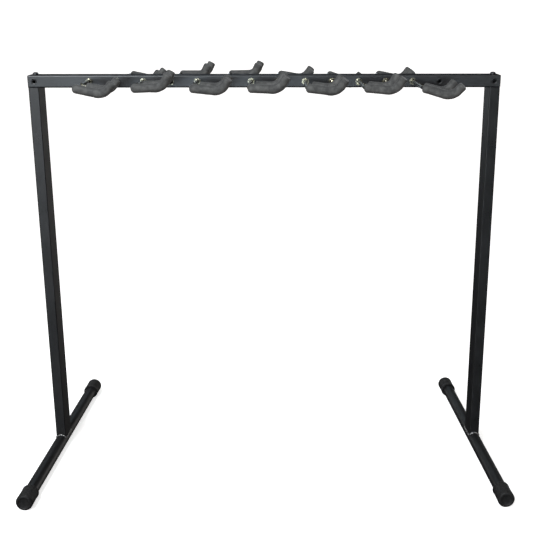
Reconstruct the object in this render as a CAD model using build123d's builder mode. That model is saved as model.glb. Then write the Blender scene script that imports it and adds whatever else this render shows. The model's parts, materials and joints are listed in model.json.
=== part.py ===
from build123d import *
from math import cos, radians, sin, sqrt, tan
import os

# A free-standing rack that hangs stringed instruments by the head, in millimetres.
# The origin is on the floor under the middle of the rack: +X runs along the crossbar, -Y is the
# front, and +Z is up. A row of padded hangers points to the front, and a second row to the rear.

# Overall size
rack_length = 1090.0
rack_height = 940.0
foot_length = 675.0

# Crossbar: flat rectangular tube that lies on the uprights
bar_depth = 50.0
bar_height = 28.0
bar_wall = 2.0
bar_corner_radius = 3.0
bar_inner_radius = 1.0
bar_axis_height = rack_height - bar_height / 2

# Plastic inserts that close the crossbar's ends
end_cap_flange = 3.0
end_cap_insert = 5.0
end_cap_wall = 2.0
end_cap_slack = 0.1
end_cap_edge_radius = 1.2

# Uprights: rectangular tube, coped over the round foot tube and welded to it. Each leg hangs on one
# bolt and is turned a little on it, so that the feet are splayed at the front.
leg_turn = 2.5
upright_width = 25.0
upright_depth = 50.0
upright_wall = 1.5
upright_corner_radius = 2.5
upright_inner_radius = 1.0
upright_inset = 1.5
upright_offset = rack_length / 2 - upright_inset - upright_width / 2

# Threaded block inside the top of each upright, for the crossbar bolt
plug_height = 15.0
plug_slack = 0.1

# Feet: round tube with a moulded rubber cap pushed over each end
foot_tube_radius = 15.0
foot_tube_wall = 1.5
foot_cap_radius = 19.5
foot_cap_length = 52.0
foot_cap_end = 8.0
foot_cap_bore_slack = 0.05
foot_cap_mouth_radius = 1.0
foot_cap_nose_radius = 4.5
foot_cap_recess_radius = 12.0
foot_cap_recess_depth = 1.2
foot_cap_recess_edge_radius = 0.6
foot_cap_sole_width = 10.0
foot_axis_height = sqrt(foot_cap_radius**2 - (foot_cap_sole_width / 2) ** 2)

# M8 fasteners
thread_radius = 4.0
thread_slack = 0.05
clearance_hole_radius = 4.25
nut_across_flats = 13.0
nut_height = 6.5
nut_face_radius = 6.2
nut_face_height = 0.4
washer_radius = 8.0
washer_bore_radius = 4.2
washer_thickness = 1.6
dome_nut_hex_height = 6.5
dome_nut_height = 15.0
dome_nut_bore_depth = 11.0
dome_radius = 6.2
button_head_radius = 7.0
button_head_height = 5.6
button_crown_radius = 3.4
button_shoulder_height = 0.8
button_dome_sagitta = 1.0
shank_radius = 3.9
button_socket_across_flats = 5.0
button_socket_depth = 2.6
bolt_length = 40.0
bolt_end_chamfer = 0.8

# The crossbar rests on the uprights with a hair's clearance, so that a leg can turn on its bolt
swivel_gap = 0.05
upright_top = rack_height - bar_height - swivel_gap

# Spare cross holes in the front and rear faces of the crossbar, close to its ends
end_hole_offset = 530.0

# Hangers: an 8 mm rod with two upturned prongs, padded with foam sleeves. Their cross holes are
# equally spaced along the crossbar and serve the front and the rear row in turn. The two tips
# of a hanger flare apart a little.
stem_hole_radius = 4.08
hanger_pitch = 124.0
row_shift = hanger_pitch / 4
rod_radius = 4.0
near_reach = 122.0
far_reach = 195.0
near_arm_length = 62.0
far_arm_length = 65.0
tip_length = 28.0
tip_angle = 63.0
tip_flare = 12.0
stem_bend_radius = 10.0
knee_bend_radius = 28.0
stem_tail = 10.0
near_prong_root = 1.0

# Foam sleeves: the near one starts beside the stem, and the far one covers the end of its bend
foam_radius = 9.6
foam_bore_radius = 4.1
foam_end_thickness = 5.0
foam_edge_radius = 2.5
near_sleeve_start = 13.0
covered_bend_angle = 30.0
covered_bend_lead = 0.3

# How far each hanger has swivelled, in degrees: positive lets the prong tips down
front_swivels = [12.0, -1.0, 6.0, 3.0, 7.0, 5.0, 16.0]
rear_swivels = [12.0, 0.0, -1.0, 9.0, 20.0, 11.0]
front_positions = [-row_shift + hanger_pitch * (i - 3) for i in range(len(front_swivels))]
rear_positions = [row_shift + hanger_pitch * (i - 3) for i in range(len(rear_swivels))]
spare_position = row_shift + hanger_pitch * 3

washer_face = bar_depth / 2 + washer_thickness
nut_face = washer_face + swivel_gap
tail_end = nut_face + stem_tail
near_prong = (near_reach, near_arm_length, -tip_flare)
far_prong = (far_reach, far_arm_length, tip_flare)


def save(piece, label):
    """Labels a finished piece and writes it as parts/LABEL.step."""
    piece.part.label = label
    export_step(piece.part, f"parts/{label}.step")


def hanger_point(hanger, out, reach, rise):
    """A point of a hanger: out along its arm, reach from the crossbar's axis, rise above the arm."""
    position, side, swivel = hanger
    turn = radians(swivel)
    return Vector(
        position + out * cos(turn) + rise * sin(turn),
        side * reach,
        bar_axis_height - out * sin(turn) + rise * cos(turn),
    )


def prong_corners(hanger, prong, length):
    """The corner of a prong's knee, and the end of its axis at a length along the tip."""
    reach, arm_length, flare = prong
    angle = radians(tip_angle)
    in_plane = length * cos(radians(flare))
    knee = hanger_point(hanger, arm_length, reach, 0)
    end = hanger_point(
        hanger,
        arm_length + in_plane * cos(angle),
        reach + length * sin(radians(flare)),
        in_plane * sin(angle),
    )
    return [knee, end]


def stem_plane(hanger, reach, facing):
    """A plane across the stem's axis, turned with the hanger. Facing +1 looks to the rear."""
    position, _, swivel = hanger
    turn = radians(swivel)
    return Plane(
        origin=(position, reach, bar_axis_height),
        x_dir=(cos(turn), 0, -sin(turn)),
        z_dir=(0, facing, 0),
    )


def bent_line(corners, bends):
    """A line through corners, rounded at each inner corner with the given bend radii."""
    with BuildLine() as bent:
        FilletPolyline(*corners, radius=bends)
    return bent.line


def round_section(line, radius):
    """A round section at the start of a line, square to it."""
    with BuildSketch(Plane(origin=line @ 0, z_dir=line % 0)) as section:
        Circle(radius)
    return section.sketch


def hanger_rod(hanger):
    """The stem, the far prong bent from it and the near prong welded to it: one steel piece."""
    stem_start = hanger_point(hanger, 0, -tail_end, 0)
    stem_corner = hanger_point(hanger, 0, far_reach, 0)
    near_start = hanger_point(hanger, near_prong_root, near_reach, 0)
    stem_and_far_line = bent_line(
        [stem_start, stem_corner, *prong_corners(hanger, far_prong, tip_length)],
        [stem_bend_radius, knee_bend_radius],
    )
    near_line = bent_line(
        [near_start, *prong_corners(hanger, near_prong, tip_length)], [knee_bend_radius]
    )
    with BuildPart() as rod:
        sweep(round_section(stem_and_far_line, rod_radius), path=stem_and_far_line)
        sweep(round_section(near_line, rod_radius), path=near_line)
    return rod


def foam_sleeve(outer_line, bore_line):
    """A foam tube round one prong, closed over the tip, with soft edges at both ends."""
    with BuildPart() as sleeve:
        sweep(round_section(outer_line, foam_radius), path=outer_line)
        fillet(sleeve.faces().filter_by(GeomType.PLANE).edges(), foam_edge_radius)
        sweep(round_section(bore_line, foam_bore_radius), path=bore_line, mode=Mode.SUBTRACT)
    return sleeve.part


def near_foam_line(hanger, length):
    """The axis of the near prong's foam, from beside the stem to a length along the tip."""
    start = hanger_point(hanger, near_sleeve_start, near_reach, 0)
    return bent_line([start, *prong_corners(hanger, near_prong, length)], [knee_bend_radius])


def far_foam_line(hanger, length):
    """The axis of the far prong's foam, from inside the stem's bend to a length along the tip."""
    covered = radians(covered_bend_angle)
    tangent_length = stem_bend_radius * tan(covered / 2)
    corner_out = stem_bend_radius - tangent_length
    lead = tangent_length + covered_bend_lead
    start = hanger_point(hanger, corner_out - lead * cos(covered), far_reach - lead * sin(covered), 0)
    corner = hanger_point(hanger, corner_out, far_reach, 0)
    return bent_line(
        [start, corner, *prong_corners(hanger, far_prong, length)],
        [stem_bend_radius, knee_bend_radius],
    )


def hanger_foam(hanger):
    """The two foam sleeves of a hanger, one on each prong."""
    foam_tip = tip_length + foam_end_thickness
    with BuildPart() as foam:
        add(foam_sleeve(near_foam_line(hanger, foam_tip), near_foam_line(hanger, tip_length)))
        add(foam_sleeve(far_foam_line(hanger, foam_tip), far_foam_line(hanger, tip_length)))
    return foam


def nut_blank(base, height):
    """A hexagonal blank that stands on a base plane, on a thin round washer face."""
    with BuildPart() as blank:
        with BuildSketch(base):
            Circle(nut_face_radius)
        extrude(amount=nut_face_height)
        with BuildSketch(base.offset(nut_face_height)):
            RegularPolygon(nut_across_flats / 2, 6, major_radius=False)
        extrude(amount=height - nut_face_height)
    return blank.part


def hex_nut(base):
    """A plain M8 nut that stands on a base plane."""
    with BuildPart() as nut:
        add(nut_blank(base, nut_height))
        with BuildSketch(base):
            Circle(thread_radius + thread_slack)
        extrude(amount=nut_height, mode=Mode.SUBTRACT)
    return nut.part


def dome_nut(base):
    """An M8 dome nut that stands on a base plane, with a blind thread."""
    shoulder = dome_nut_height - dome_radius
    with BuildPart() as nut:
        add(nut_blank(base, dome_nut_hex_height))
        with BuildSketch(Plane(origin=base.origin, x_dir=base.x_dir, z_dir=-base.y_dir)):
            with BuildLine():
                Polyline((0, dome_nut_height), (0, 0), (dome_radius, 0), (dome_radius, shoulder))
                CenterArc((0, shoulder), dome_radius, 0, 90)
            make_face()
        revolve(axis=Axis(base.origin, base.z_dir))
        with BuildSketch(base):
            Circle(thread_radius + thread_slack)
        extrude(amount=dome_nut_bore_depth, mode=Mode.SUBTRACT)
    return nut.part


def hanger_nuts(hanger):
    """The hex nut on the hanger's side of the crossbar and the dome nut on the opposite side."""
    side = hanger[1]
    with BuildPart() as nuts:
        add(hex_nut(stem_plane(hanger, side * nut_face, side)))
        add(dome_nut(stem_plane(hanger, -side * nut_face, -side)))
    return nuts


def leg_directions(side):
    """Unit vectors of one leg: across its foot tube, and along it towards the rear."""
    turn = radians(side * leg_turn)
    across = Vector(cos(turn), sin(turn), 0)
    along = Vector(-sin(turn), cos(turn), 0)
    return across, along


def leg_level(side, height):
    """A horizontal plane on a leg's vertical axis, turned with the leg."""
    across, _ = leg_directions(side)
    return Plane(origin=(side * upright_offset, 0, height), x_dir=across, z_dir=(0, 0, 1))


def foot_section(side):
    """A vertical plane across the middle of a foot tube, centred on the tube."""
    across, along = leg_directions(side)
    return Plane(origin=(side * upright_offset, 0, foot_axis_height), x_dir=across, z_dir=-along)


def upright(side):
    """A rectangular tube from the foot tube to the underside of the crossbar."""
    with BuildPart() as tube:
        with BuildSketch(leg_level(side, foot_axis_height)):
            RectangleRounded(upright_width, upright_depth, upright_corner_radius)
            RectangleRounded(
                upright_width - 2 * upright_wall,
                upright_depth - 2 * upright_wall,
                upright_inner_radius,
                mode=Mode.SUBTRACT,
            )
        extrude(amount=upright_top - foot_axis_height)
        with BuildSketch(foot_section(side)):
            Circle(foot_tube_radius)
        extrude(amount=upright_depth, both=True, mode=Mode.SUBTRACT)
    return tube


def threaded_plug(side):
    """The steel block inside the top of an upright that the crossbar bolt screws into."""
    margin = 2 * (upright_wall + plug_slack)
    with BuildPart() as plug:
        with BuildSketch(leg_level(side, upright_top)):
            RectangleRounded(upright_width - margin, upright_depth - margin, upright_inner_radius)
            Circle(thread_radius, mode=Mode.SUBTRACT)
        extrude(amount=-plug_height)
    return plug


def foot_tube(side):
    """A round tube along the floor, front to rear, under one upright."""
    with BuildPart() as tube:
        with BuildSketch(foot_section(side)):
            Circle(foot_tube_radius)
            Circle(foot_tube_radius - foot_tube_wall, mode=Mode.SUBTRACT)
        extrude(amount=foot_length / 2 - foot_cap_end, both=True)
    return tube


def foot_cap(side, end):
    """A moulded rubber cap over one end of a foot tube, with a dished nose and a flat sole."""
    across, along = leg_directions(side)
    nose = foot_length / 2
    bore = foot_tube_radius + foot_cap_bore_slack
    outline = [
        (nose - foot_cap_recess_depth, 0),
        (nose - foot_cap_recess_depth, foot_cap_recess_radius),
        (nose, foot_cap_recess_radius + foot_cap_recess_depth),
        (nose, foot_cap_radius),
        (nose - foot_cap_length, foot_cap_radius),
        (nose - foot_cap_length, bore),
        (nose - foot_cap_end, bore),
        (nose - foot_cap_end, 0),
    ]
    edge_radii = [
        0,
        foot_cap_recess_edge_radius,
        foot_cap_recess_edge_radius,
        foot_cap_nose_radius,
        foot_cap_mouth_radius,
        foot_cap_mouth_radius,
        0,
        0,
    ]
    centre = (side * upright_offset, 0, foot_axis_height)
    with BuildPart() as cap:
        with BuildSketch(Plane(origin=centre, x_dir=end * along, z_dir=end * across)):
            with BuildLine():
                FilletPolyline(*outline, radius=edge_radii, close=True)
            make_face()
        revolve(axis=Axis(centre, along))
        split(bisect_by=Plane.XY, keep=Keep.TOP)
    return cap


def crossbar_end_cap(side):
    """A plastic insert with a thin flange that closes one end of the crossbar."""
    inner_end = side * (rack_length / 2 - end_cap_flange)
    margin = 2 * (bar_wall + end_cap_slack)
    section = Plane(origin=(inner_end, 0, bar_axis_height), x_dir=(0, side, 0), z_dir=(side, 0, 0))
    with BuildPart() as cap:
        with BuildSketch(section):
            RectangleRounded(bar_depth, bar_height, bar_corner_radius)
        extrude(amount=end_cap_flange)
        fillet(cap.faces().sort_by(Axis.X)[-1 if side > 0 else 0].edges(), end_cap_edge_radius)
        with BuildSketch(section):
            RectangleRounded(bar_depth - margin, bar_height - margin, bar_inner_radius)
            offset(amount=-end_cap_wall, mode=Mode.SUBTRACT)
        extrude(amount=-end_cap_insert)
    return cap


os.makedirs("parts", exist_ok=True)

# Crossbar: a tube with a row of stem holes, and a bolt hole and a spare cross hole at each end
hanger_positions = front_positions + rear_positions
stem_hole_points = [(x, bar_axis_height) for x in hanger_positions + [spare_position]]
end_hole_points = [(side * end_hole_offset, bar_axis_height) for side in (-1, 1)]
bolt_points = [(side * upright_offset, 0) for side in (-1, 1)]

with BuildPart() as crossbar:
    with BuildSketch(Plane.YZ):
        with Locations((0, bar_axis_height)):
            RectangleRounded(bar_depth, bar_height, bar_corner_radius)
            RectangleRounded(
                bar_depth - 2 * bar_wall,
                bar_height - 2 * bar_wall,
                bar_inner_radius,
                mode=Mode.SUBTRACT,
            )
    extrude(amount=rack_length / 2 - end_cap_flange, both=True)
    with BuildSketch(Plane.XZ):
        with Locations(*stem_hole_points):
            Circle(stem_hole_radius)
        with Locations(*end_hole_points):
            Circle(clearance_hole_radius)
    extrude(amount=bar_depth, both=True, mode=Mode.SUBTRACT)
    with BuildSketch(Plane.XY.offset(bar_axis_height)):
        with Locations(*bolt_points):
            Circle(clearance_hole_radius)
    extrude(amount=bar_height, both=True, mode=Mode.SUBTRACT)
save(crossbar, "crossbar")

# Crossbar bolts: button-head screws straight down into the uprights' threaded plugs
with BuildPart() as crossbar_bolts:
    for x, y in bolt_points:
        with BuildSketch(Plane(origin=(x, y, rack_height), z_dir=(0, -1, 0), x_dir=(1, 0, 0))):
            with BuildLine():
                Polyline(
                    (0, button_head_height),
                    (0, -bolt_length),
                    (shank_radius - bolt_end_chamfer, -bolt_length),
                    (shank_radius, bolt_end_chamfer - bolt_length),
                    (shank_radius, 0),
                    (button_head_radius, 0),
                    (button_head_radius, button_shoulder_height),
                )
                SagittaArc(
                    (button_head_radius, button_shoulder_height),
                    (button_crown_radius, button_head_height),
                    -button_dome_sagitta,
                )
                Line((button_crown_radius, button_head_height), (0, button_head_height))
            make_face()
        revolve(axis=Axis((x, y, 0), (0, 0, 1)))
    with BuildSketch(Plane.XY.offset(rack_height + button_head_height)):
        with Locations(*bolt_points):
            RegularPolygon(button_socket_across_flats / 2, 6, major_radius=False)
    extrude(amount=-button_socket_depth, mode=Mode.SUBTRACT)
save(crossbar_bolts, "crossbar_bolts")

# Washers: one on each face of the crossbar, at every hanger
with BuildPart() as hanger_washers:
    for side in (-1, 1):
        with BuildSketch(Plane.XZ.offset(-side * bar_depth / 2)):
            with Locations(*[(x, bar_axis_height) for x in hanger_positions]):
                Circle(washer_radius)
                Circle(washer_bore_radius, mode=Mode.SUBTRACT)
        extrude(amount=-side * washer_thickness)
save(hanger_washers, "hanger_washers")

# Legs, and the caps on the crossbar's ends
for name, side in (("left", -1), ("right", 1)):
    save(upright(side), f"{name}_upright")
    save(threaded_plug(side), f"{name}_upright_threaded_plug")
    save(foot_tube(side), f"{name}_foot_tube")
    save(foot_cap(side, -1), f"{name}_foot_front_cap")
    save(foot_cap(side, 1), f"{name}_foot_rear_cap")
    save(crossbar_end_cap(side), f"crossbar_{name}_end_cap")

# Hangers: front row towards -Y, rear row towards +Y
hanger_rows = [
    ("front", -1, front_positions, front_swivels),
    ("rear", 1, rear_positions, rear_swivels),
]
for row, side, positions, swivels in hanger_rows:
    for number, (position, swivel) in enumerate(zip(positions, swivels), start=1):
        hanger = (position, side, swivel)
        save(hanger_rod(hanger), f"{row}_hanger_{number}_rod")
        save(hanger_foam(hanger), f"{row}_hanger_{number}_foam_sleeves")
        save(hanger_nuts(hanger), f"{row}_hanger_{number}_nuts")
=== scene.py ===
import json
import math

import bmesh
import bpy
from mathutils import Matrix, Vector, noise


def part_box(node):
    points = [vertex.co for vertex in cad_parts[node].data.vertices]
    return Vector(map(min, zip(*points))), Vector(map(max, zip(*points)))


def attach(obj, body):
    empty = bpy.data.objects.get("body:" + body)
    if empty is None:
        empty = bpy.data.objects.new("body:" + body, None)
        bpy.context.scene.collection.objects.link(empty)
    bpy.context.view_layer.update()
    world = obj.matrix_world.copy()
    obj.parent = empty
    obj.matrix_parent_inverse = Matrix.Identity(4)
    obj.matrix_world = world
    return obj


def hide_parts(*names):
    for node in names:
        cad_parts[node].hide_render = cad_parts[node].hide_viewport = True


# The looks of the rack: foam sleeves, rubber caps, plated hardware, welds, materials, light and
# camera. Lengths are in metres. The places and angles of the hangers and legs come from the packed
# frame and its record, and the main dimensions below are those of the design.
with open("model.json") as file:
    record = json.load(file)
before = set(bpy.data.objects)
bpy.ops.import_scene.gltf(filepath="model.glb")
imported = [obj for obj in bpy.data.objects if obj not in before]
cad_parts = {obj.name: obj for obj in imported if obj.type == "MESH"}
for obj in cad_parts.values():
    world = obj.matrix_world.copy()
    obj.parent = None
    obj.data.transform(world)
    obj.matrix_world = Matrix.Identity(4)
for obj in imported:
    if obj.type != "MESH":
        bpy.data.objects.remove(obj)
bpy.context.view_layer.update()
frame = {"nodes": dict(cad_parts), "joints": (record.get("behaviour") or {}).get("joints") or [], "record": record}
record = frame["record"]
nodes = frame["nodes"]

MM = 0.001

# Hangers
near_reach = 122.0 * MM
far_reach = 195.0 * MM
near_arm_length = 62.0 * MM
far_arm_length = 65.0 * MM
tip_length = 28.0 * MM
tip_angle = math.radians(63.0)
tip_flare = math.radians(12.0)
stem_bend_radius = 10.0 * MM
knee_bend_radius = 28.0 * MM
rod_radius = 4.0 * MM

# Foam sleeves. Their ends are rounder than those of the design's plain sleeves, and the far one
# wraps 15 degrees further round the end of the stem.
foam_radius = 9.6 * MM
foam_bore_radius = 4.0 * MM
foam_bore_depth = 5.0 * MM
foam_end_thickness = 5.0 * MM
foam_edge_radius = 3.4 * MM
foam_ring_step = 1.1 * MM
foam_ring_points = 44
near_sleeve_start = 13.0 * MM
covered_bend_angle = math.radians(45.0)
covered_bend_lead = 0.3 * MM

# The foam's uneven skin: folds inside a bend, bulges inside and outside it, and swells, each given by
# its size and its height. The skin stops short of a bend's centre.
fold_spacing = 4.6 * MM
fold_depth = 0.75 * MM
inner_bulge = 0.9 * MM
outer_bulge = 1.2 * MM
foam_swells = ((17.0 * MM, 0.45 * MM), (5.5 * MM, 0.13 * MM))
bend_centre_margin = 0.96

# Nuts and the thread beside the hex nut
nut_across_flats = 13.0 * MM
nut_height = 6.5 * MM
nut_bore_radius = 3.9 * MM
nut_chamfer_drop = 0.58 * MM
nut_seat_margin = 0.25 * MM
nut_countersink = 0.5 * MM
nut_countersink_depth = 0.9 * nut_chamfer_drop
dome_nut_height = 15.0 * MM
dome_radius = 6.2 * MM
nut_face = 26.65 * MM
thread_pitch = 1.25 * MM
thread_ridge = 0.28 * MM
thread_turns = 9

# Legs
upright_width = 25.0 * MM
upright_depth = 50.0 * MM
upright_corner = 2.5 * MM
cap_length = 52.0 * MM
cap_end_thickness = 8.0 * MM
cap_parting_ridge = 0.22 * MM

# Empty cross holes near the ends of the crossbar
end_hole_offset = 530.0 * MM
end_hole_radius = 4.25 * MM


# Mesh building


def add_object(name, mesh_data, body, material):
    """Links a finished mesh as a piece of the rack, rides it on its body and gives it a material."""
    piece = bpy.data.objects.new(name, mesh_data)
    bpy.context.scene.collection.objects.link(piece)
    mesh_data.materials.append(material)
    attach(piece, body)
    return piece


def finish_mesh(name, builder, sharp_angle):
    """Turns a bmesh into mesh data, smooth but for edges sharper than an angle in degrees."""
    bmesh.ops.recalc_face_normals(builder, faces=builder.faces)
    limit = math.radians(sharp_angle)
    for face in builder.faces:
        face.smooth = True
    for edge in builder.edges:
        edge.smooth = edge.calc_face_angle(0.0) < limit
    mesh_data = bpy.data.meshes.new(name)
    builder.to_mesh(mesh_data)
    builder.free()
    return mesh_data


def add_rings(builder, rings, closed_ends=True):
    """Joins rings of points into one skin. A ring of one point closes that end."""
    made = [[builder.verts.new(point) for point in ring] for ring in rings]
    for ring, following in zip(made, made[1:]):
        count = max(len(ring), len(following))
        for i in range(count):
            j = (i + 1) % count
            corners = [ring[i % len(ring)], ring[j % len(ring)]]
            corners += [following[j % len(following)], following[i % len(following)]]
            distinct = list(dict.fromkeys(corners))
            if len(distinct) > 2:
                builder.faces.new(distinct)
    if closed_ends:
        for ring in (made[0], made[-1]):
            if len(ring) > 2:
                builder.faces.new(ring)


def join_seam(builder):
    """Merges the points where a skin that runs in a loop meets its own start."""
    bmesh.ops.remove_doubles(builder, verts=builder.verts, dist=0.001 * MM)


class Path:
    """A line through points, with a frame at any distance along it that never twists."""

    def __init__(self, points, up):
        self.points = points
        self.distances = [0.0]
        for a, b in zip(points, points[1:]):
            self.distances.append(self.distances[-1] + (b - a).length)
        self.length = self.distances[-1]
        self.tangents = []
        for i in range(len(points)):
            before = points[max(i - 1, 0)]
            after = points[min(i + 1, len(points) - 1)]
            self.tangents.append((after - before).normalized())
        side = (up - up.dot(self.tangents[0]) * self.tangents[0]).normalized()
        self.sides = [side]
        for before, after in zip(self.tangents, self.tangents[1:]):
            side = before.rotation_difference(after) @ side
            self.sides.append(side)

    def at(self, distance):
        """The point, the tangent and two cross directions at a distance along the line."""
        inside = min(max(distance, 0.0), self.length)
        i = 0
        while i < len(self.distances) - 2 and self.distances[i + 1] < inside:
            i += 1
        share = (inside - self.distances[i]) / (self.distances[i + 1] - self.distances[i])
        tangent = self.tangents[i].lerp(self.tangents[i + 1], share).normalized()
        side = self.sides[i].lerp(self.sides[i + 1], share).normalized()
        point = self.points[i].lerp(self.points[i + 1], share) + (distance - inside) * tangent
        return point, tangent, side, tangent.cross(side)

    def bend(self, distance):
        """The curvature at a distance, as a vector towards the inside of the bend."""
        reach = 3.0 * MM
        before = self.at(distance - reach)[1]
        after = self.at(distance + reach)[1]
        return (after - before) / (2 * reach)


def rounded_points(corners, bends, step):
    """Points of a line through corners, rounded at each inner corner."""
    points = [corners[0]]
    for before, corner, after, bend in zip(corners, corners[1:], corners[2:], bends):
        back = (before - corner).normalized()
        ahead = (after - corner).normalized()
        half = back.angle(ahead) / 2
        start = corner + back * bend / math.tan(half)
        centre = corner + (back + ahead).normalized() * bend / math.sin(half)
        straight = (start - points[-1]).length
        count = max(int(straight / step), 1)
        last = points[-1]
        points += [last.lerp(start, i / count) for i in range(1, count + 1)]
        spread = math.pi - 2 * half
        count = max(int(bend * spread / step), 6)
        from_centre = start - centre
        for i in range(1, count + 1):
            angle = spread * i / count
            points.append(centre + from_centre * math.cos(angle) - back * bend * math.sin(angle))
    straight = (corners[-1] - points[-1]).length
    count = max(int(straight / step), 1)
    last = points[-1]
    points += [last.lerp(corners[-1], i / count) for i in range(1, count + 1)]
    return points


def circle_ring(centre, first, second, radius, count):
    """A ring of points round a centre."""
    turns = [2 * math.pi * i / count for i in range(count)]
    return [centre + radius * (math.cos(a) * first + math.sin(a) * second) for a in turns]


# Hangers


class Hanger:
    """Where one hanger is, and how far it has swivelled, from its joint in the record."""

    def __init__(self, joint):
        self.body = joint["child"]
        self.side = -1 if self.body.startswith("front") else 1
        self.swivel = -math.radians(sum(joint["range_deg"]) / 2)
        self.centre = Vector(joint["pos_m"])

    def point(self, out, reach, rise):
        """A point out along the arm, at a reach from the crossbar's axis, and a rise above the arm."""
        turned = Vector(
            (
                out * math.cos(self.swivel) + rise * math.sin(self.swivel),
                self.side * reach,
                rise * math.cos(self.swivel) - out * math.sin(self.swivel),
            )
        )
        return self.centre + turned

    def up(self):
        """The direction square to the arms and to the stem."""
        return self.point(0, 0, 1) - self.centre

    def out(self):
        """The direction out along the arms."""
        return (self.point(1, 0, 0) - self.centre).normalized()

    def prong_corners(self, reach, arm_length, flare):
        """The corner of a prong's knee, and the end of its foam on the axis of its tip."""
        length = tip_length + foam_end_thickness
        in_plane = length * math.cos(flare)
        tip_out = arm_length + in_plane * math.cos(tip_angle)
        tip_reach = reach + length * math.sin(flare)
        knee = self.point(arm_length, reach, 0)
        return [knee, self.point(tip_out, tip_reach, in_plane * math.sin(tip_angle))]

    def near_path(self):
        """The axis of the near prong's foam, which starts beside the stem."""
        corners = [self.point(near_sleeve_start, near_reach, 0)]
        corners += self.prong_corners(near_reach, near_arm_length, -tip_flare)
        return Path(rounded_points(corners, [knee_bend_radius], foam_ring_step), self.up())

    def far_path(self):
        """The axis of the far prong's foam, which covers the end of the stem's bend."""
        tangent_length = stem_bend_radius * math.tan(covered_bend_angle / 2)
        corner_out = stem_bend_radius - tangent_length
        lead = tangent_length + covered_bend_lead
        start_out = corner_out - lead * math.cos(covered_bend_angle)
        start_reach = far_reach - lead * math.sin(covered_bend_angle)
        corners = [self.point(start_out, start_reach, 0), self.point(corner_out, far_reach, 0)]
        corners += self.prong_corners(far_reach, far_arm_length, tip_flare)
        bends = [stem_bend_radius, knee_bend_radius]
        return Path(rounded_points(corners, bends, foam_ring_step), self.up())


def foam_outline(length):
    """The sleeve's side view: (distance along, radius, softness) from inside the bore to the tip.

    Softness is how much of the skin's unevenness a point takes. The tip has a rounded rim and a
    slightly dished face.
    """
    edge = foam_edge_radius
    bore = foam_bore_radius
    outline = [(foam_bore_depth, 0.0, 0.0), (foam_bore_depth, bore, 0.0)]
    outline += [(foam_bore_depth / 2, bore, 0.0), (0.35 * MM, bore + 0.1 * MM, 0.0)]
    outline += [(0.0, bore + 0.9 * MM, 0.3), (0.0, bore + 1.8 * MM, 0.5)]
    quarter = [math.radians(a) for a in (0, 22, 45, 68, 90)]
    shoulder = foam_radius - edge
    outline += [(edge - edge * math.cos(a), shoulder + edge * math.sin(a), 0.8) for a in quarter]
    count = int((length - 2 * edge) / foam_ring_step)
    span = length - 2 * edge
    outline += [(edge + span * i / count, foam_radius, 1.0) for i in range(1, count)]
    outline += [
        (length - edge + edge * math.sin(a), shoulder + edge * math.cos(a), 0.8) for a in quarter
    ]
    outline += [(length - 0.1 * MM, 4.6 * MM, 0.6), (length - 0.35 * MM, 2.4 * MM, 0.4)]
    outline += [(length - 0.45 * MM, 0.0, 0.0)]
    return outline


def foam_skin(builder, path, seed):
    """One foam sleeve: hand-cut ends, a slightly uneven skin, and folds inside each bend.

    The seed moves it to its own part of the noise, so that no two sleeves are alike.
    """
    rings = []
    shift = Vector((seed * 7.3, seed * 3.1, seed * 5.7))
    for distance, radius, softness in foam_outline(path.length):
        point, tangent, first, second = path.at(distance)
        if radius == 0.0:
            rings.append([point])
            continue
        bend = path.bend(distance)
        ring = []
        for place in circle_ring(Vector((0, 0, 0)), first, second, 1.0, foam_ring_points):
            towards_centre = place.dot(bend)
            inside = max(towards_centre, 0.0) * foam_radius
            outside = max(-towards_centre, 0.0) * foam_radius
            fold = fold_depth * inside**1.5 * math.sin(2 * math.pi * distance / fold_spacing)
            bulge = inner_bulge * inside + outer_bulge * outside
            here = point + place * radius
            swell = sum(height * noise.noise(here / size + shift) for size, height in foam_swells)
            wide = radius + softness * (fold + bulge + swell)
            if towards_centre > 0:
                wide = min(wide, bend_centre_margin / towards_centre)
            ring.append(point + place * wide)
        rings.append(ring)
    add_rings(builder, rings)


def foam_pair(hanger, seed, material):
    """Both foam sleeves of a hanger, in place of the plain ones of the frame."""
    builder = bmesh.new()
    foam_skin(builder, hanger.far_path(), seed)
    foam_skin(builder, hanger.near_path(), seed + 50)
    mesh_data = finish_mesh(f"{hanger.body}_foam", builder, sharp_angle=50)
    piece = add_object(f"{hanger.body}_foam", mesh_data, hanger.body, material)
    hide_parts(f"{hanger.body}_foam_sleeves")


def turned_hexagon(angle, turned_radius):
    """The radius of a hexagonal bar at an angle, where it's turned down to at most a radius."""
    from_flat = (angle + math.pi / 6) % (math.pi / 3) - math.pi / 6
    return min(nut_across_flats / 2 / math.cos(from_flat), turned_radius)


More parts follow.
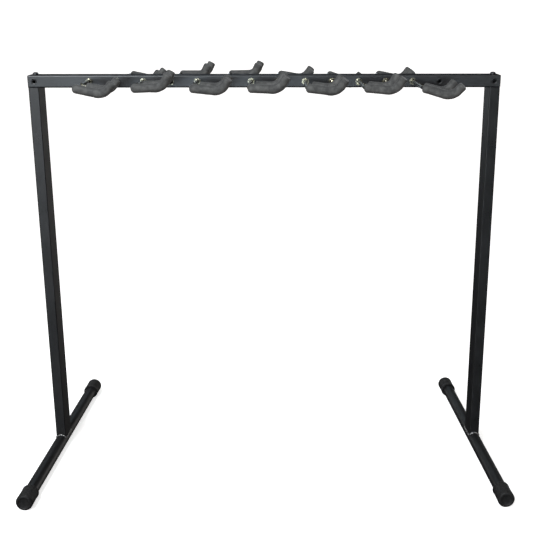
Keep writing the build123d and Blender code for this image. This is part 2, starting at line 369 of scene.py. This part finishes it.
def nut_skin(builder, base, axis, first, height, dome):
    """A nut on a base point: chamfered hexagon, countersunk bore, or a dome over the thread."""
    second = axis.cross(first)
    flat = nut_across_flats / 2
    seat = flat - nut_seat_margin
    past_corners = nut_across_flats / math.sqrt(3) + 0.2 * MM
    steps = 5
    chamfer = [
        (nut_chamfer_drop * i / steps, flat + (past_corners - flat) * i / steps)
        for i in range(steps + 1)
    ]
    mouth = nut_bore_radius + nut_countersink
    outline = [(nut_countersink_depth, nut_bore_radius), (0.0, mouth), (0.0, seat)]
    outline += chamfer
    outline += [(height - drop, radius) for drop, radius in reversed(chamfer)]
    if dome:
        shoulder = dome_nut_height - dome_radius
        outline += [(height + 0.05 * MM, dome_radius + 0.05 * MM), (shoulder, dome_radius)]
        arcs = [math.radians(a) for a in range(10, 90, 10)]
        outline += [
            (shoulder + dome_radius * math.sin(a), dome_radius * math.cos(a)) for a in arcs
        ]
        outline += [(dome_nut_height, 0.0)]
    else:
        outline += [(height, seat), (height, mouth)]
        outline += [(height - nut_countersink_depth, nut_bore_radius)]
    points = 72
    rings = []
    for rise, radius in outline:
        if radius == 0.0:
            rings.append([base + axis * rise])
            continue
        ring = []
        for i in range(points):
            angle = 2 * math.pi * i / points
            wide = turned_hexagon(angle, radius) if radius > flat else radius
            outward = math.cos(angle) * first + math.sin(angle) * second
            ring.append(base + axis * rise + wide * outward)
        rings.append(ring)
    if dome:
        rings.insert(0, [base + axis * nut_chamfer_drop])
    add_rings(builder, rings, closed_ends=False)
    if not dome:
        close_bore(builder)


def close_bore(builder):
    """Joins the two open rings of a nut, which makes the wall of its bore."""
    boundary = [edge for edge in builder.edges if edge.is_boundary]
    bmesh.ops.bridge_loops(builder, edges=boundary)


def thread_skin(builder, start, axis, first):
    """A helical thread ridge on the stem, from a start point along an axis."""
    second = axis.cross(first)
    per_turn = 28
    count = per_turn * thread_turns
    half_width = axis * 0.52 * thread_pitch
    foot_radius = rod_radius - 0.05 * MM
    rings = []
    for i in range(count + 1):
        angle = 2 * math.pi * i / per_turn
        run = thread_pitch * i / per_turn
        fade = min(1.0, i / per_turn, (count - i) / per_turn)
        outward = math.cos(angle) * first + math.sin(angle) * second
        centre = start + axis * run
        crest = centre + outward * (rod_radius + thread_ridge * fade)
        foot = centre + outward * foot_radius
        rings.append([foot - half_width, crest, foot + half_width])
    add_rings(builder, rings)


def prong_weld_skin(builder, hanger):
    """The fillet weld where the near prong meets the stem."""
    count = 48
    bead = 1.25 * MM
    lift = 0.35 * MM
    seam_radius = rod_radius + 0.15 * MM
    ripples = 13
    rings = []
    for i in range(count + 1):
        angle = 2 * math.pi * i / count
        saddle = rod_radius * abs(math.cos(angle)) + lift
        reach = near_reach + seam_radius * math.cos(angle)
        centre = hanger.point(saddle, reach, seam_radius * math.sin(angle))
        outward = (centre - hanger.point(saddle, near_reach, 0)).normalized()
        ripple = 1 + 0.14 * math.sin(ripples * angle) + 0.1 * noise.noise(centre / (2 * MM))
        rings.append(circle_ring(centre, outward, hanger.out(), bead * ripple, 10))
    add_rings(builder, rings[:-1] + [rings[0]], closed_ends=False)
    join_seam(builder)


def hanger_hardware(hanger, material):
    """A hanger's two nuts, the thread beside the hex nut and the near prong's weld, all plated."""
    builder = bmesh.new()
    first = hanger.out()
    outward = Vector((0, hanger.side, 0))
    face = hanger.centre + outward * nut_face
    nut_skin(builder, face, outward, first, nut_height, dome=False)
    opposite = hanger.centre - outward * nut_face
    nut_skin(builder, opposite, -outward, first, nut_height, dome=True)
    thread_skin(builder, face + outward * (nut_height - 0.5 * thread_pitch), outward, first)
    weld = bmesh.new()
    prong_weld_skin(weld, hanger)
    weld_data = finish_mesh(f"{hanger.body}_prong_weld", weld, sharp_angle=60)
    mesh_data = finish_mesh(f"{hanger.body}_hardware", builder, sharp_angle=24)
    piece = add_object(f"{hanger.body}_hardware", mesh_data, hanger.body, material)
    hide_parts(f"{hanger.body}_nuts")
    add_object(f"{hanger.body}_prong_weld", weld_data, hanger.body, material)


# Feet


class Leg:
    """One leg's place and direction, from its joint and its foot tube's box."""

    def __init__(self, joint):
        self.body = joint["child"]
        self.name = self.body.split("_")[0]
        self.centre = Vector((joint["pos_m"][0], 0, 0))
        self.turn = -math.radians(sum(joint["range_deg"]) / 2)
        self.across = Vector((math.cos(self.turn), math.sin(self.turn), 0))
        self.along = Vector((-math.sin(self.turn), math.cos(self.turn), 0))
        low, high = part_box(f"{self.name}_foot_tube")
        self.axis_height = (low.z + high.z) / 2
        self.tube_radius = (high.z - low.z) / 2
        skew = self.tube_radius * abs(math.sin(self.turn))
        self.tube_end = (high.y - skew) / math.cos(self.turn)

    def point(self, across, along, height):
        """A point across and along the foot tube from under the joint, at a height."""
        return self.centre + self.across * across + self.along * along + Vector((0, 0, height))


def cap_outline(length, radius, bore):
    """A rubber cap's side view from its mouth to the middle of its dished nose."""
    lip = 0.9 * MM
    lip_length = 8.0 * MM
    nose = 5.0 * MM
    dish = 2.3 * MM
    # The mouth's bore, its rounded rim and the lip round its outside
    outline = [(lip_length, bore), (0.8 * MM, bore), (0.15 * MM, bore + 0.4 * MM)]
    outline += [(0.0, bore + 1.2 * MM), (0.0, radius - 1.6 * MM), (0.35 * MM, radius - 0.5 * MM)]
    outline += [(1.2 * MM, radius), (3.6 * MM, radius), (4.6 * MM, radius - 0.15 * MM)]
    outline += [(5.4 * MM, radius - lip * 0.75), (lip_length, radius - lip)]
    # The body, which widens again by the lip's height, and the rounded nose
    outline += [(length * share, radius - lip + lip * share) for share in (0.3, 0.45, 0.6, 0.75)]
    quarter = [math.radians(a) for a in range(0, 91, 15)]
    outline += [
        (length - nose + nose * math.sin(a), radius - nose + nose * math.cos(a)) for a in quarter
    ]
    # The dish in the nose's face
    outline += [(length, 14.2 * MM), (length - 0.3 * MM, 13.6 * MM), (length - 1.8 * MM, 13.0 * MM)]
    outline += [(length - 2.2 * MM, 12.4 * MM), (length - dish, 6.0 * MM), (length - dish, 0.0)]
    return outline


def foot_cap(leg, node, end, material):
    """A moulded rubber cap with a lip at its mouth, a parting ridge and a flat worn sole."""
    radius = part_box(node)[1].z - leg.axis_height
    bore = leg.tube_radius + 0.05 * MM
    mouth = leg.tube_end + cap_end_thickness - cap_length
    ridge_sharpness = 60
    builder = bmesh.new()
    rings = []
    points = 64
    for distance, wide in cap_outline(cap_length, radius, bore):
        ridge = cap_parting_ridge if wide > bore + 0.55 * MM else 0.0
        ring = []
        for i in range(points if wide > 0 else 1):
            angle = 2 * math.pi * i / points
            spread = wide + ridge * max(0.0, math.cos(2 * angle)) ** ridge_sharpness
            height = max(leg.axis_height + spread * math.sin(angle), 0.0)
            ring.append(leg.point(spread * math.cos(angle), end * (mouth + distance), height))
        rings.append(ring)
    add_rings(builder, rings)
    mesh_data = finish_mesh(f"{node}_rubber", builder, sharp_angle=55)
    piece = add_object(f"{node}_rubber", mesh_data, leg.body, material)
    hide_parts(node)


def foot_weld(leg, material):
    """The rippled weld bead where the upright's coped end meets the foot tube."""
    bead = 1.9 * MM
    ripple_spacing = 2.6 * MM
    step = 0.8 * MM
    outset = 0.2 * MM
    lift = 0.3 * MM
    half_width = upright_width / 2 - upright_corner
    half_depth = upright_depth / 2 - upright_corner
    outline = []
    for quarter, (right, back) in enumerate(((1, 1), (-1, 1), (-1, -1), (1, -1))):
        for degrees in range(90 * quarter, 90 * quarter + 91, 15):
            turn = math.radians(degrees)
            across = right * half_width + upright_corner * math.cos(turn)
            along = back * half_depth + upright_corner * math.sin(turn)
            outline.append(Vector((across, along)))
    closed = outline + [outline[0]]
    points = []
    for a, b in zip(closed, closed[1:]):
        count = max(int((b - a).length / step), 1)
        points += [a.lerp(b, i / count) for i in range(count)]
    rings = []
    run = 0.0
    for i, place in enumerate(points):
        ahead = points[(i + 1) % len(points)] - points[i - 1]
        run += (place - points[i - 1]).length
        outward = Vector((ahead.y, -ahead.x)).normalized()
        seam = place + outward * outset
        rise = math.sqrt(max(leg.tube_radius**2 - seam.x**2, 0.0)) + lift
        centre = leg.point(seam.x, seam.y, leg.axis_height + rise)
        first = (leg.point(outward.x, outward.y, 0) - leg.centre).normalized()
        ripple = 1 + 0.16 * abs(math.sin(math.pi * run / ripple_spacing))
        ripple += 0.12 * noise.noise(centre / (5 * MM))
        rings.append(circle_ring(centre, first, Vector((0, 0, 1)), bead * ripple, 12))
    builder = bmesh.new()
    add_rings(builder, rings + [rings[0]], closed_ends=False)
    join_seam(builder)
    mesh_data = finish_mesh(f"{leg.name}_foot_weld", builder, sharp_angle=70)
    add_object(f"{leg.name}_foot_weld", mesh_data, leg.body, material)


def empty_hole_rims(material):
    """The dished rims of the crossbar's empty cross holes, pressed in where the holes were punched."""
    low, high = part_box("crossbar")
    centre_height = (low.z + high.z) / 2
    spare = next(m for m in record["mounts"] if m["name"] == "spare_hanger_hole")
    holes = [(spare["pos_m"][0], spare["dims"]["r_mm"] * MM)]
    holes += [(side * end_hole_offset, end_hole_radius) for side in (-1, 1)]
    # The rim's section in millimetres: (beyond the hole's edge, out from the face)
    section = [(2.9, -0.3), (2.9, 0.0), (2.6, 0.45), (2.2, 0.65), (1.8, 0.6), (1.2, 0.35)]
    section += [(0.6, 0.1), (0.1, -0.25), (-0.1, -0.8), (-0.1, -1.8), (0.3, -1.8)]
    around = 64
    builder = bmesh.new()
    for x, radius in holes:
        for side in (-1, 1):
            face = high.y if side > 0 else low.y
            rings = []
            for i in range(around):
                angle = 2 * math.pi * i / around
                outward = Vector((math.cos(angle), 0, math.sin(angle)))
                uneven = 1 + 0.2 * noise.noise(Vector((x * 40, side, 0)) + outward * 1.7)
                ring = []
                for beyond, lift in section:
                    point = Vector((x, face + side * lift * uneven * MM, centre_height))
                    ring.append(point + outward * (radius + beyond * MM))
                rings.append(ring)
            add_rings(builder, rings + [rings[0]], closed_ends=False)
    join_seam(builder)
    mesh_data = finish_mesh("crossbar_hole_rims", builder, sharp_angle=80)
    add_object("crossbar_hole_rims", mesh_data, "crossbar_assembly", material)


# Materials


class NodeTree:
    """Short calls for the nodes that the finishes and the room share.

    A value is a number, a colour of three numbers or another node's output.
    """

    def __init__(self, tree):
        self.tree = tree

    def add(self, kind, **values):
        """A new node with some of its inputs set."""
        node = self.tree.nodes.new(f"ShaderNode{kind}")
        self.put(node, **values)
        return node

    def put(self, node, **values):
        """Sets a node's inputs. An underscore in a name stands for a space."""
        for name, value in values.items():
            self.feed(node.inputs[name.replace("_", " ")], value)

    def feed(self, socket, value):
        """Sets one input to a value."""
        if isinstance(value, tuple):
            socket.default_value = (*value, 1.0)
        elif isinstance(value, (int, float)):
            socket.default_value = value
        else:
            self.tree.links.new(value, socket)

    def split(self, vector):
        """The X, Y and Z outputs of a vector."""
        return self.add("SeparateXYZ", Vector=vector).outputs

    def span(self, source, low, high, to_low, to_high, interpolation="LINEAR"):
        """Maps a value from one range to another."""
        node = self.add(
            "MapRange", Value=source, From_Min=low, From_Max=high, To_Min=to_low, To_Max=to_high
        )
        node.interpolation_type = interpolation
        return node.outputs["Result"]

    def math(self, operation, a, b):
        """A sum on two values."""
        node = self.add("Math")
        node.operation = operation
        for value, socket in zip((a, b), node.inputs):
            self.feed(socket, value)
        return node.outputs[0]

    def choose(self, share, a, b):
        """A mix of two numbers, from all of the first at 0 to all of the second at 1."""
        return self.add("Mix", Factor=share, A=a, B=b).outputs["Result"]

    def mix(self, share, a, b):
        """A mix of two colours, from all of the first at 0 to all of the second at 1."""
        node = self.add("Mix", Factor=share)
        node.data_type = "RGBA"
        for value, number in ((a, 6), (b, 7)):
            self.feed(node.inputs[number], value)
        return node.outputs[2]


class Recipe(NodeTree):
    """A procedural material."""

    def __init__(self, name):
        self.material = bpy.data.materials.new(name)
        self.material.use_nodes = True
        super().__init__(self.material.node_tree)
        self.shader = self.tree.nodes["Principled BSDF"]
        self.place = self.add("TexCoord").outputs["Object"]

    def noise(self, size, detail, place=None):
        """Noise whose blotches are about a size in metres."""
        where = place or self.place
        node = self.add("TexNoise", Vector=where, Scale=1 / size, Detail=detail, Roughness=0.55)
        return node.outputs["Fac"]

    def cells(self, size):
        """The distance to the nearest of many scattered points, about a size apart."""
        return self.add("TexVoronoi", Vector=self.place, Scale=1 / size).outputs["Distance"]

    def stretched(self, x, y, z):
        """The place, scaled along each axis."""
        node = self.add("Mapping", Vector=self.place)
        node.inputs["Scale"].default_value = (x, y, z)
        return node.outputs["Vector"]

    def upward(self):
        """How much the surface faces up, from 0 to 1."""
        normal = self.add("NewGeometry").outputs["Normal"]
        return self.span(self.split(normal)["Z"], 0.35, 1.0, 0.0, 1.0)

    def edge_on(self):
        """How much the surface is seen edge on, from 0 to 1."""
        return self.add("LayerWeight", Blend=0.5).outputs["Facing"]

    def bump(self, height, depth, before=None):
        """A bump of a depth in metres for a height from 0 to 1, over another bump."""
        node = self.add("Bump", Height=height, Distance=depth)
        if before is not None:
            self.put(node, Normal=before)
        return node.outputs["Normal"]

    def set(self, **values):
        """Sets the shader's inputs."""
        self.put(self.shader, **values)


def powder_coat():
    """Satin black powder coat: orange peel, faint mottling and a few pale specks."""
    coat = Recipe("powder_coat")
    mottle = coat.noise(60 * MM, 4.0)
    speck = coat.noise(1.6 * MM, 2.0)
    cloudy = coat.span(mottle, 0.3, 0.7, 0, 1)
    shade = coat.mix(cloudy, (0.0045, 0.0046, 0.005), (0.0075, 0.0076, 0.0082))
    fleck = coat.span(speck, 0.66, 0.72, 0.0, 0.5)
    shade = coat.mix(fleck, shade, (0.035, 0.036, 0.038))
    coat.set(Base_Color=shade)
    broad = coat.span(mottle, 0.25, 0.75, 0.29, 0.36)
    fine = coat.span(speck, 0.3, 0.7, -0.04, 0.06)
    grazing = coat.edge_on()
    dulled = coat.math("ADD", fine, coat.span(grazing, 0.45, 0.8, 0.0, 0.25))
    coat.set(Roughness=coat.math("ADD", broad, dulled))
    coat.set(Specular_IOR_Level=coat.span(grazing, 0.45, 0.8, 0.42, 0.06))
    peel = coat.bump(coat.noise(2.2 * MM, 2.0), 0.05 * MM)
    coat.set(Normal=coat.bump(coat.noise(0.55 * MM, 1.0), 0.012 * MM, peel))
    return coat.material


def weld_coat():
    """Coated weld bead, worn to bare metal on its crests."""
    coat = Recipe("weld_coat")
    wear = coat.span(coat.noise(3 * MM, 5.0), 0.46, 0.56, 0.0, 1.0)
    coat.set(Base_Color=coat.mix(wear, (0.02, 0.0205, 0.022), (0.42, 0.41, 0.40)))
    coat.set(Metallic=coat.math("MULTIPLY", wear, 0.85), Roughness=coat.span(wear, 0, 1, 0.35, 0.42))
    coat.set(Normal=coat.bump(coat.noise(0.9 * MM, 3.0), 0.08 * MM))
    return coat.material


def end_cap_plastic():
    """Moulded black plastic with a fine spark-eroded grain."""
    plastic = Recipe("end_cap_plastic")
    cloud = plastic.noise(12 * MM, 3.0)
    plastic.set(Base_Color=plastic.mix(cloud, (0.011, 0.011, 0.012), (0.02, 0.02, 0.021)))
    plastic.set(Roughness=plastic.span(cloud, 0.3, 0.7, 0.48, 0.6))
    plastic.set(Normal=plastic.bump(plastic.cells(0.5 * MM), 0.03 * MM))
    return plastic.material


def black_fastener():
    """Black oxide on a bolt, rubbed shiny in streaks."""
    oxide = Recipe("black_fastener")
    rub = oxide.noise(2.5 * MM, 5.0)
    worn = oxide.span(rub, 0.52, 0.68, 0.0, 0.5)
    oxide.set(Base_Color=oxide.mix(worn, (0.02, 0.02, 0.022), (0.16, 0.155, 0.15)))
    oxide.set(Metallic=0.75, Roughness=oxide.span(rub, 0.3, 0.7, 0.26, 0.42))
    oxide.set(Normal=oxide.bump(oxide.noise(0.4 * MM, 2.0), 0.01 * MM))
    return oxide.material


def zinc_plate():
    """Zinc plate with a slight yellow passivation, cloudy and faintly scratched."""
    zinc = Recipe("zinc_plate")
    cloud = zinc.noise(4 * MM, 4.0)
    tint = zinc.mix(zinc.span(cloud, 0.35, 0.65, 0, 1), (0.17, 0.165, 0.14), (0.33, 0.30, 0.21))
    scratch = zinc.noise(1.1 * MM, 4.0, place=zinc.stretched(1.0, 0.12, 1.0))
    stain = zinc.span(cloud, 0.46, 0.60, 0.9, 0.0)
    zinc.set(Base_Color=zinc.mix(stain, tint, (0.07, 0.065, 0.055)))
    zinc.set(Metallic=1.0, Roughness=zinc.span(scratch, 0.3, 0.7, 0.16, 0.32))
    zinc.set(Normal=zinc.bump(scratch, 0.015 * MM))
    return zinc.material


def plain_steel():
    """Sawn steel with an oil film."""
    steel = Recipe("plain_steel")
    grain = steel.noise(0.8 * MM, 4.0, place=steel.stretched(0.1, 1.0, 1.0))
    steel.set(Base_Color=steel.mix(grain, (0.36, 0.36, 0.37), (0.55, 0.55, 0.56)))
    steel.set(Metallic=1.0, Roughness=steel.span(grain, 0.3, 0.7, 0.3, 0.5))
    steel.set(Normal=steel.bump(grain, 0.02 * MM))
    return steel.material


def cap_rubber():
    """Moulded rubber, dull, scuffed, with dust in its grain."""
    rubber = Recipe("cap_rubber")
    scuff = rubber.noise(9 * MM, 6.0)
    scuffed = rubber.span(scuff, 0.35, 0.7, 0, 1)
    shade = rubber.mix(scuffed, (0.005, 0.005, 0.0052), (0.012, 0.0118, 0.0118))
    settled = rubber.span(rubber.noise(3 * MM, 6.0), 0.42, 0.7, 0.0, 0.25)
    dust = rubber.math("MULTIPLY", rubber.upward(), settled)
    rubber.set(Base_Color=rubber.mix(dust, shade, (0.11, 0.105, 0.10)))
    rubber.set(Roughness=rubber.span(scuff, 0.3, 0.7, 0.52, 0.72), Specular_IOR_Level=0.2)
    skin = rubber.bump(rubber.noise(4 * MM, 3.0), 0.12 * MM)
    rubber.set(Normal=rubber.bump(rubber.cells(0.7 * MM), 0.03 * MM, skin))
    return rubber.material


def foam():
    """Closed-cell foam: matte charcoal, fine open pores darkened with painted shade, paler where hands have rubbed
    it, and painted shade where it is seen edge on.
    """
    sponge = Recipe("foam")
    cloud = sponge.noise(11 * MM, 5.0)
    pores = sponge.cells(0.75 * MM)
    rubbed = sponge.span(cloud, 0.35, 0.68, 0, 1)
    shade = sponge.mix(rubbed, (0.043, 0.044, 0.044), (0.092, 0.093, 0.091))
    # Painted shade: the pores' centres are darkened, as if shade fell into them.
    painted_pore_shade = sponge.span(pores, 0.0, 0.28, 0.55, 0.0)
    shade = sponge.mix(painted_pore_shade, shade, (0.03, 0.031, 0.033))
    # Painted shade: the colour darkens towards the sleeve's outline, where it is seen edge on.
    painted_edge_shade = sponge.span(sponge.edge_on(), 0.05, 0.65, 0.0, 0.85)
    sponge.set(Base_Color=sponge.mix(painted_edge_shade, shade, (0.012, 0.0125, 0.013)))
    sponge.set(Roughness=0.9, Specular_IOR_Level=0.25, Sheen_Weight=0.18, Sheen_Roughness=0.5)
    dents = sponge.bump(sponge.noise(2.6 * MM, 4.0), 0.16 * MM)
    sponge.set(Normal=sponge.bump(sponge.span(pores, 0.0, 0.4, 0.0, 1.0), 0.09 * MM, dents))
    return sponge.material


def paint_frame(finishes):
    """Gives every CAD node the finish of its material slot in the record."""
    for part in record["subparts"]:
        holder = nodes[part["node"]]
        finish = finishes[part["material_slot"]]
        if not holder.material_slots:
            holder.data.materials.append(finish)
        for material_slot in holder.material_slots:
            material_slot.link = "OBJECT"
            material_slot.material = finish


# Room


def floor():
    """A plain pale floor that reaches past the view."""
    half = 400.0
    builder = bmesh.new()
    corners = [(-half, -half), (half, -half), (half, half), (-half, half)]
    builder.faces.new([builder.verts.new((x, y, 0.0)) for x, y in corners])
    mesh_data = bpy.data.meshes.new("floor")
    builder.to_mesh(mesh_data)
    builder.free()
    plane = bpy.data.objects.new("floor", mesh_data)
    bpy.context.scene.collection.objects.link(plane)
    paint = Recipe("floor_paint")
    cloud = paint.noise(0.5, 3.0)
    paint.set(Base_Color=paint.mix(cloud, (0.93, 0.93, 0.93), (0.95, 0.95, 0.95)), Roughness=0.9)
    paint.set(Specular_IOR_Level=0.1, Emission_Color=(1.0, 1.0, 1.0), Emission_Strength=0.6)
    mesh_data.materials.append(paint.material)
    plane.visible_glossy = False
    plane.visible_diffuse = False


def add_lamp(data, direction):
    """A lamp that shines in a direction."""
    lamp = bpy.data.objects.new(data.name, data)
    bpy.context.scene.collection.objects.link(lamp)
    lamp.rotation_euler = Vector(direction).to_track_quat("-Z", "Y").to_euler()
    return lamp


def softbox(name, place, target, side, power, colour):
    """A square soft light that faces a target."""
    data = bpy.data.lights.new(name, "AREA")
    data.shape = "SQUARE"
    data.size = side
    data.energy = power
    data.color = colour
    add_lamp(data, Vector(target) - Vector(place)).location = place


def soft_sun(name, direction, strength):
    """A wide soft sun that shines in a direction."""
    data = bpy.data.lights.new(name, "SUN")
    data.energy = strength
    data.angle = math.radians(40)
    return add_lamp(data, direction)


def room_light():
    """A pale room for the camera and an even one for the light, but windows for the reflections.

    What a reflection sees depends on its ray's direction: X is to the right, Y to the back and Z up.
    """
    backdrop_strength = 1.08
    world = bpy.data.worlds.new("room")
    world.use_nodes = True
    room = NodeTree(world.node_tree)
    axes = room.split(room.add("TexCoord").outputs["Generated"])
    ray = room.add("LightPath").outputs

    def ramp(axis, low, high, to_low, to_high):
        """A smooth change of strength between two directions along an axis."""
        return room.span(axes[axis], low, high, to_low, to_high, "SMOOTHSTEP")

    def product(first, *others):
        """All the values, multiplied."""
        for other in others:
            first = room.math("MULTIPLY", first, other)
        return first

    # The room is bright at the horizon, dim above it and dark towards the floor
    below_horizon = ramp("Z", -0.01, 0.08, 1.0, 0.06)
    above_floor = ramp("Z", -0.16, 0.05, 0.01, 1.0)
    # A window in front and a weaker one behind, which fade slowly to the left and fast to the right,
    # and dim walls all round
    window = product(ramp("X", -0.03, 0.17, 1.0, 0.02), ramp("X", -0.5, -0.05, 0.1, 1.0))
    windows = product(window, ramp("Y", -0.3, 0.3, 24.0, 8.0))
    dim_walls = ramp("Y", -1.0, 1.0, 0.2, 0.25)
    around = product(room.math("ADD", windows, dim_walls), below_horizon, above_floor)
    # Paler walls at the right rear, which the left upright's inner side reflects
    right_wall = product(ramp("X", 0.08, 0.24, 0.0, 0.6), ramp("Z", -0.42, -0.3, 0.0, 1.0))
    far_right = product(ramp("X", 0.38, 0.5, 0.0, 0.3), ramp("Z", -0.2, -0.1, 0.0, 1.0))
    behind = ramp("Y", 0.2, 0.6, 0.0, 1.0)
    walls = product(room.math("ADD", right_wall, far_right), behind, below_horizon)
    # A ceiling light in front of the rack, for the faces that look up
    overhead = product(ramp("Z", 0.55, 0.75, 0.0, 4.0), ramp("Y", -0.6, -0.3, 1.0, 0.0))
    reflected = room.math("ADD", around, room.math("ADD", walls, overhead))

    fill = ramp("Z", -0.6, 0.6, 0.6, 0.42)
    strength = room.choose(ray["Is Glossy Ray"], fill, reflected)
    strength = room.choose(ray["Is Camera Ray"], strength, backdrop_strength)
    warm = (1.0, 0.97, 0.94)
    daylight = (0.74, 0.88, 1.0)
    colour = room.mix(product(window, ray["Is Glossy Ray"]), warm, daylight)
    room.put(world.node_tree.nodes["Background"], Strength=strength, Color=colour)
    bpy.context.scene.world = world


def lights():
    """The room, a soft sun and a cool softbox at the front left, and a weaker sun from behind."""
    bpy.context.scene.view_settings.view_transform = "Standard"
    room_light()
    soft_sun("sun", (0.4, 0.9, -0.4), strength=1.35)
    back_fill = soft_sun("back_fill", (-0.3, -0.9, -0.12), strength=0.6)
    back_fill.visible_glossy = False
    cool = (0.90, 0.95, 1.0)
    crossbar_middle = (0.0, 0.0, 0.9)
    softbox("key", (-0.9, -1.3, 2.3), crossbar_middle, side=0.6, power=45.0, colour=cool)


def camera():
    """The camera in front of the rack's middle, a little above it and looking down."""
    data = bpy.data.cameras.new("camera")
    data.sensor_width = 36.0
    data.lens = 62.75
    data.shift_x = -0.056
    data.shift_y = 0.019
    eye = bpy.data.objects.new("camera", data)
    bpy.context.scene.collection.objects.link(eye)
    eye.location = (0.0437, -2.2045, 1.1065)
    look_down = math.radians(16.6)
    look_right = math.radians(0.76)
    eye.rotation_euler = (math.pi / 2 - look_down, 0.0, -look_right)
    bpy.context.scene.camera = eye


# Build everything
finishes = {
    "powder_coat": powder_coat(),
    "end_cap_plastic": end_cap_plastic(),
    "black_fastener": black_fastener(),
    "zinc_plate": zinc_plate(),
    "plain_steel": plain_steel(),
    "cap_rubber": cap_rubber(),
    "foam": foam(),
}
paint_frame(finishes)
bead_finish = weld_coat()

for joint in frame["joints"]:
    if joint["child"].endswith("leg"):
        leg = Leg(joint)
        foot_cap(leg, f"{leg.name}_foot_front_cap", -1, finishes["cap_rubber"])
        foot_cap(leg, f"{leg.name}_foot_rear_cap", 1, finishes["cap_rubber"])
        foot_weld(leg, bead_finish)

hangers = [Hanger(joint) for joint in frame["joints"] if "hanger" in joint["child"]]
for number, hanger in enumerate(hangers):
    foam_pair(hanger, number, finishes["foam"])
    hanger_hardware(hanger, finishes["zinc_plate"])

empty_hole_rims(finishes["powder_coat"])
floor()
lights()
camera()
